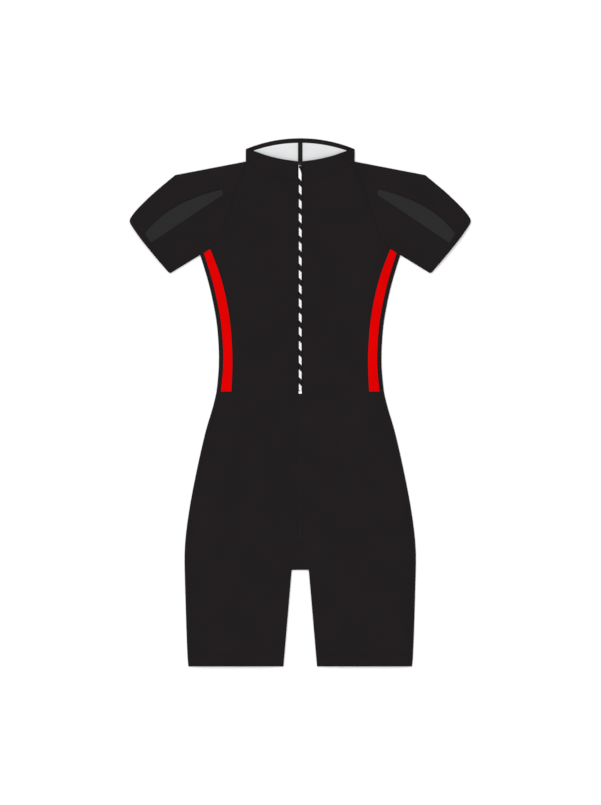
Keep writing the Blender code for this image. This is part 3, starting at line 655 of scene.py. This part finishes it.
# %% Drop a line onto the cloth
STEP = 1.5 * MM
LIFT = 0.06 * MM             # the thread's middle lies this far above the cloth
ABOVE_ALL = 50 * MM          # rays start from this height
DOWN = Vector((0, 0, -1))


def tree_of(pieces):
    """One search tree over several pieces' faces."""
    points = []
    faces = []
    for piece in pieces:
        first = len(points)
        points += [vertex.co.copy() for vertex in piece.data.vertices]
        faces += [[first + index for index in face.vertices] for face in piece.data.polygons]
    return BVHTree.FromPolygons(points, faces)


surface = tree_of(cloth.values())


def stepped(line):
    """Points along a line at even steps, both ends included."""
    lengths = [(after - before).length for before, after in zip(line, line[1:])]
    count = max(int(sum(lengths) / STEP), 1)
    points = []
    index = 0
    passed = 0.0
    for number in range(count + 1):
        at = sum(lengths) * number / count
        while index < len(lengths) - 1 and passed + lengths[index] < at:
            passed += lengths[index]
            index += 1
        points.append(line[index].lerp(line[index + 1], min((at - passed) / lengths[index], 1.0)))
    return points


def dropped(line, trim):
    """The line's points on the cloth, lifted off it by part of a thread's thickness, its ends trimmed."""
    points = stepped(line)
    skip = round(trim * MM / STEP)
    route = []
    for point in points[skip:len(points) - skip]:
        hit = surface.ray_cast(Vector((point.x, point.y, ABOVE_ALL)), DOWN)[0]
        if hit:
            route.append(hit + Vector((0, 0, LIFT)))
    return route


# %% [markdown]
# ## Stitches by Geometry Nodes
# Thousands of stitches are the kind of thing that Geometry Nodes do best: turn the routes into
# curves, step along them at the stitch's pitch and put one small spindle of thread on each step,
# turned along the route. A spindle's ends are thin, so it looks as if it dips into the cloth. Three
# helpers serve every tree: one starts it, one holds its routes and one runs it.

# %% Start a tree, hold its routes and run it


def new_tree(name, inputs):
    """An empty node tree for a modifier, with named inputs for its sizes and one for its material."""
    tree = bpy.data.node_groups.new(name, "GeometryNodeTree")
    tree.is_modifier = True
    tree.interface.new_socket("Geometry", in_out="INPUT", socket_type="NodeSocketGeometry")
    for label in inputs:
        tree.interface.new_socket(label, in_out="INPUT", socket_type="NodeSocketFloat")
    tree.interface.new_socket("Material", in_out="INPUT", socket_type="NodeSocketMaterial")
    tree.interface.new_socket("Geometry", in_out="OUTPUT", socket_type="NodeSocketGeometry")
    return tree


def routes_piece(name, routes):
    """An object that holds routes as plain edges."""
    mesh = bpy.data.meshes.new(name)
    points = []
    edges = []
    for route in routes:
        first = len(points)
        points += [tuple(point) for point in route]
        edges += [(first + i, first + i + 1) for i in range(len(route) - 1)]
    mesh.from_pydata(points, edges, [])
    piece = bpy.data.objects.new(name, mesh)
    bpy.context.scene.collection.objects.link(piece)
    return piece


def run_tree(piece, tree, inputs):
    """Give a piece a node tree, set its inputs by their identifiers, and keep the result as plain mesh."""
    nodes_modifier = piece.modifiers.new("Nodes", "NODES")
    nodes_modifier.node_group = tree
    for item in tree.interface.items_tree:
        if item.in_out == "INPUT" and item.name in inputs:
            nodes_modifier[item.identifier] = inputs[item.name]
    plain_mesh(piece)


# %% [markdown]
# One tree sews all three kinds of seam. Its stitch is a single spindle, or three of them: one for each
# row and a slanting one between, for the thread that crosses over the seam.

# %% The stitch tree
THREAD = 0.45 * MM
CROSSING_RUN = 2.5 * MM  # the crossing thread gains this much along the seam from row to row


def stitch_tree(name, rows_apart):
    """A node tree that sews along its routes: one row, or two rows with a thread crossing between."""
    tree = new_tree(name, ("Pitch", "Stitch Length", "Thread"))
    given = tree.nodes.new("NodeGroupInput").outputs
    curves = add_node(tree, "GeometryNodeMeshToCurve", Mesh=given["Geometry"])
    steps = add_node(tree, "GeometryNodeResampleCurve", {"mode": "LENGTH"},
                     Curve=curves.outputs["Curve"], Length=given["Pitch"])
    way = add_node(tree, "GeometryNodeInputTangent")
    turn = add_node(tree, "FunctionNodeAlignRotationToVector", {"axis": "X"}, Vector=way.outputs["Tangent"])
    spindle = add_node(tree, "GeometryNodeMeshUVSphere", Segments=6, Rings=4, Radius=0.5)
    size = add_node(tree, "ShaderNodeCombineXYZ",
                    X=given["Stitch Length"], Y=given["Thread"], Z=given["Thread"])
    places = [(0.0, 0.0)]
    if rows_apart:
        places = [(rows_apart / 2, 0.0), (-rows_apart / 2, 0.0), (0.0, math.atan2(rows_apart, CROSSING_RUN))]
    unit = tree.nodes.new("GeometryNodeJoinGeometry")
    for across, slant in places:
        laid = add_node(tree, "GeometryNodeTransform", Geometry=spindle.outputs["Mesh"],
                        Translation=(0, across, 0), Rotation=(0, 0, slant), Scale=size.outputs["Vector"])
        tree.links.new(laid.outputs["Geometry"], unit.inputs["Geometry"])
    placed = add_node(tree, "GeometryNodeInstanceOnPoints", Points=steps.outputs["Curve"],
                      Instance=unit.outputs["Geometry"], Rotation=turn.outputs["Rotation"])
    real = add_node(tree, "GeometryNodeRealizeInstances", Geometry=placed.outputs["Instances"])
    rounded = add_node(tree, "GeometryNodeSetShadeSmooth", Geometry=real.outputs["Geometry"])
    coloured = add_node(tree, "GeometryNodeSetMaterial", Geometry=rounded.outputs["Geometry"],
                        Material=given["Material"])
    end = tree.nodes.new("NodeGroupOutput")
    tree.links.new(coloured.outputs["Geometry"], end.inputs["Geometry"])
    return tree


# %% [markdown]
# Which seams are sewn how: the raglan seams are flatlocked, two rows with a thread crossing between
# them, and the hems and cuffs have a cover stitch, which looks the same but a little narrower. Along
# the zip, the stripes, the sleeve inserts, the collar and the centre and side seams runs a single
# row, always on the black side, so that the colours keep their clean edges.

# %% Choose the stitch lines
# A seam is the run nearest to x, y; inset, trim at both ends and reach from x, y are in millimetres too
Seam = namedtuple("Seam", "node x y inset trim reach", defaults=(1000.0,))
SINGLE_ROWS = (
    Seam("front", 4, 200, 3.0, 3.0),            # along the zip
    Seam("front", 0, -150, 2.0, 3.0),           # centre front, below the zip
    Seam("front", 123, 90, 1.6, 3.0),           # inner side of the stripe
    Seam("front", 60, 425, 2.0, 6.0),           # below the collar
    Seam("front", 180, -100, 2.0, 3.0),         # side seam, below the stripe
    Seam("collar", 50, 425, 2.0, 6.0),          # foot of the collar
    Seam("collar", 45, 453, 2.2, 6.0),          # its upper edge
    Seam("collar", 4, 425, 3.0, 4.5),           # its edge along the zip
    Seam("back", 139, 60, 1.6, 3.0),            # outer side of the stripe
    Seam("sleeve_front", 200, 375, 1.5, 1.5),   # upper side of the insert
    Seam("sleeve_front", 200, 346, 1.5, 1.5),   # its lower side
    Seam("sleeve_front", 279, 304, 1.5, 1.5),   # its outer end
)
COVER_ROWS = (
    Seam("front", 120, -488, 20.0, 0),          # hem
    Seam("sleeve_front", 279, 287, 6.6, 0, 57.0),   # cuff
)
FLATLOCK = (
    Seam("front", 130, 356, 0.0, 4.5),          # raglan seam
)
Sewing = namedtuple("Sewing", "name label seams rows_apart pitch length")  # sizes in millimetres
SEWINGS = (
    Sewing("single_row_stitches", "Single row", SINGLE_ROWS, 0.0, 3.0, 2.4),
    Sewing("cover_stitches", "Cover stitch", COVER_ROWS, 3.2, 2.8, 2.3),
    Sewing("flatlock_stitches", "Flatlock", FLATLOCK, 4.0, 2.4, 2.0),
)
print("seams on each half:", sum(len(sewing.seams) for sewing in SEWINGS))

# %% Sew them on both halves


def seam_routes(seams):
    """The routes of some seams on both halves of the garment."""
    routes = []
    for seam in seams:
        for side, word in ((1, "left"), (-1, "right")):
            place = Vector((side * seam.x * MM, seam.y * MM))
            line = moved_in(run_near(seam.node + "_" + word, place), seam.inset)
            whole = dropped(line, seam.trim)
            route = [point for point in whole if (point.xy - place).length < seam.reach * MM]
            if len(route) > 2:
                routes.append(route)
    return routes


for sewing in SEWINGS:
    routes = seam_routes(sewing.seams)
    piece = routes_piece(sewing.name, routes)
    run_tree(piece, stitch_tree(sewing.label, sewing.rows_apart * MM),
             {"Pitch": sewing.pitch * MM, "Stitch Length": sewing.length * MM, "Thread": THREAD,
              "Material": black_thread})
    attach(piece, "garment")
    print(sewing.name, "routes:", len(routes), "faces:", len(piece.data.polygons))

# %% [markdown]
# ## The zip
# A moulded chain has two rows of teeth that lock into each other. One tree makes both: it steps along
# the chain's middle line at the pitch of one row, puts a tooth to the right, and the same tooth turned
# round to the left half a pitch further on. A tooth is a block for its body and a smaller one for the
# head that locks.

# %% The chain
PITCH = 2.6 * MM
TOOTH_LENGTH = 2.2 * MM
TOOTH_HEIGHT = 1.7 * MM
TOOTH_REACH = 2.3 * MM
TOOTH_ROUND = 0.16 * MM
TOOTH_DEPTH = 0.9 * MM            # a tooth's middle lies this far below the top of the solid chain
BODY_PLACE = 0.545                # the body's middle, as a share of the reach
HEAD_SHARE = (0.42, 0.5, 0.86)    # the head's size as shares of the body's
BESIDE_MIDDLE = 0.5 * MM          # rays start beside the chain's middle, not on an edge of its mesh

chain_low, chain_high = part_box("zip_chain")
chain_top = tree_of([nodes["zip_chain"]])


def chain_line(start, end):
    """Points along the chain's middle, one for each tooth of a row, under the top of the solid chain."""
    points = []
    for number in range(int((end - start) / PITCH) + 1):
        y = start + number * PITCH
        hit = chain_top.ray_cast(Vector((BESIDE_MIDDLE, y, ABOVE_ALL)), DOWN)[0]
        points.append(Vector((0, y, hit.z - TOOTH_DEPTH)))
    return points


def chain_tree():
    tree = new_tree("Zip chain", ("Pitch", "Tooth Length", "Tooth Height", "Reach"))
    given = tree.nodes.new("NodeGroupInput").outputs
    curves = add_node(tree, "GeometryNodeMeshToCurve", Mesh=given["Geometry"])
    steps = add_node(tree, "GeometryNodeResampleCurve", {"mode": "LENGTH"},
                     Curve=curves.outputs["Curve"], Length=given["Pitch"])
    body_size = add_node(tree, "ShaderNodeCombineXYZ", X=given["Reach"], Y=given["Tooth Length"],
                         Z=given["Tooth Height"])
    body = add_node(tree, "GeometryNodeMeshCube", Size=body_size.outputs["Vector"])
    body_x = add_node(tree, "ShaderNodeMath", {"operation": "MULTIPLY"}, i0=given["Reach"], i1=BODY_PLACE)
    body_place = add_node(tree, "ShaderNodeCombineXYZ", X=body_x.outputs["Value"])
    body_laid = add_node(tree, "GeometryNodeTransform", Geometry=body.outputs["Mesh"],
                         Translation=body_place.outputs["Vector"])
    head_size = add_node(tree, "ShaderNodeVectorMath", {"operation": "MULTIPLY"},
                         i0=body_size.outputs["Vector"], i1=HEAD_SHARE)
    head = add_node(tree, "GeometryNodeMeshCube", Size=head_size.outputs["Vector"])
    tooth = tree.nodes.new("GeometryNodeJoinGeometry")
    tree.links.new(body_laid.outputs["Geometry"], tooth.inputs["Geometry"])
    tree.links.new(head.outputs["Mesh"], tooth.inputs["Geometry"])
    half_pitch = add_node(tree, "ShaderNodeMath", {"operation": "MULTIPLY"}, i0=given["Pitch"], i1=0.5)
    shifted = add_node(tree, "ShaderNodeCombineXYZ", Y=half_pitch.outputs["Value"])
    other_row = add_node(tree, "GeometryNodeTransform", Geometry=tooth.outputs["Geometry"],
                         Translation=shifted.outputs["Vector"], Rotation=(0, 0, math.pi))
    pair = tree.nodes.new("GeometryNodeJoinGeometry")
    tree.links.new(tooth.outputs["Geometry"], pair.inputs["Geometry"])
    tree.links.new(other_row.outputs["Geometry"], pair.inputs["Geometry"])
    placed = add_node(tree, "GeometryNodeInstanceOnPoints", Points=steps.outputs["Curve"],
                      Instance=pair.outputs["Geometry"])
    real = add_node(tree, "GeometryNodeRealizeInstances", Geometry=placed.outputs["Instances"])
    coloured = add_node(tree, "GeometryNodeSetMaterial", Geometry=real.outputs["Geometry"],
                        Material=given["Material"])
    end = tree.nodes.new("NodeGroupOutput")
    tree.links.new(coloured.outputs["Geometry"], end.inputs["Geometry"])
    return tree


chain = routes_piece("zip_teeth", [chain_line(chain_low.y + PITCH / 2, chain_high.y - PITCH)])
run_tree(chain, chain_tree(), {"Pitch": PITCH, "Tooth Length": TOOTH_LENGTH, "Tooth Height": TOOTH_HEIGHT,
                               "Reach": TOOTH_REACH, "Material": banded_teeth})
tooth_edge = chain.modifiers.new("Moulded edge", "BEVEL")
tooth_edge.width = TOOTH_ROUND
tooth_edge.segments = 1
plain_mesh(chain)
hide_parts("zip_chain")
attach(chain, "garment")
print("faces of the teeth:", len(chain.data.polygons))

# %% [markdown]
# The stops, the slider and the pull keep the form of their nodes, with their hard edges rounded as
# casting and moulding leave them.

# %% Stops, slider and pull
FINE_MERGE = 0.002 * MM
FLAT_ANGLE = math.radians(3)       # faces that meet flatter than this are joined to one
HARD_EDGE = math.radians(35)       # edges sharper than this are rounded
SHADE_ANGLE = math.radians(40)     # edges that stay sharper than this keep a hard shade
CAST_ROUND = 0.15 * MM
PULL_ROUND = 0.18 * MM


def rounded_piece(node, name, material, width):
    """A piece on a node's own form, with its hard edges rounded."""
    shape = bmesh.new()
    shape.from_mesh(nodes[node].data)
    bmesh.ops.remove_doubles(shape, verts=shape.verts, dist=FINE_MERGE)
    bmesh.ops.dissolve_limit(shape, angle_limit=FLAT_ANGLE, verts=shape.verts, edges=shape.edges)
    piece = add_piece(name, shape, material)
    edge = piece.modifiers.new("Moulded edge", "BEVEL")
    edge.width = width
    edge.segments = 2
    edge.limit_method = "ANGLE"
    edge.angle_limit = HARD_EDGE
    plain_mesh(piece)
    piece.data.shade_smooth()
    piece.data.set_sharp_from_angle(angle=SHADE_ANGLE)
    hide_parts(node)
    return piece


for node, material in (("bottom_stop", white_plastic), ("top_stop_left", black_enamel),
                       ("top_stop_right", black_enamel), ("zip_slider", black_enamel)):
    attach(rounded_piece(node, node + "_finished", material, CAST_ROUND), "garment")
pull = rounded_piece("zip_pull", "pull_tab_finished", pull_plastic_with_painted_shade, PULL_ROUND)
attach(pull, "pull_tab")
print("faces of the pull:", len(pull.data.polygons))
